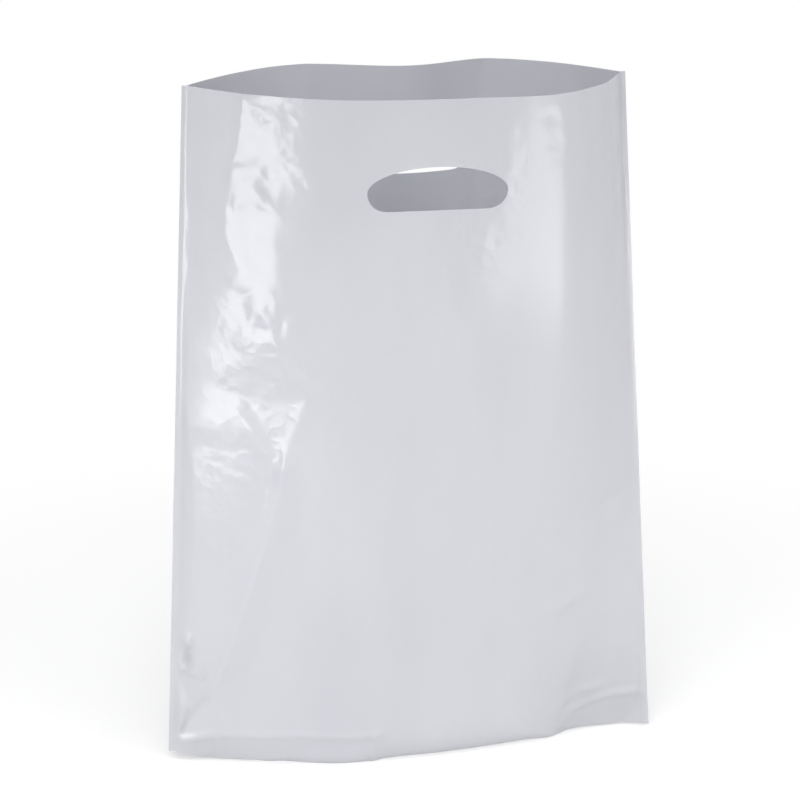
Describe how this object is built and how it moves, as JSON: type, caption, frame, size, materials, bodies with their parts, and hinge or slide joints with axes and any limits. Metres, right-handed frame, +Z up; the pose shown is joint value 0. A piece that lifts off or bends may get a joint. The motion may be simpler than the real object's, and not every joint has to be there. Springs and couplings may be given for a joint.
{
  "type": "plastic carrier bag",
  "caption": "White film carrier bag with a die-cut hand hole, welded sides and a bottom gusset, standing open with creased panels.",
  "frame": {"origin": "on the floor, under the middle of the bag's bounding box", "axes": "+Z up out of the mouth, +X along the bag's width, -Y towards the front panel with the more gently curved left side"},
  "size_m": [0.3296, 0.1262, 0.455],
  "materials": {
    "film": "white polyethylene film, smooth and glossy, slightly translucent, with soft creases"
  },
  "bodies": {
    "root": {"carrier_bag": "film"}
  },
  "joints": []
}
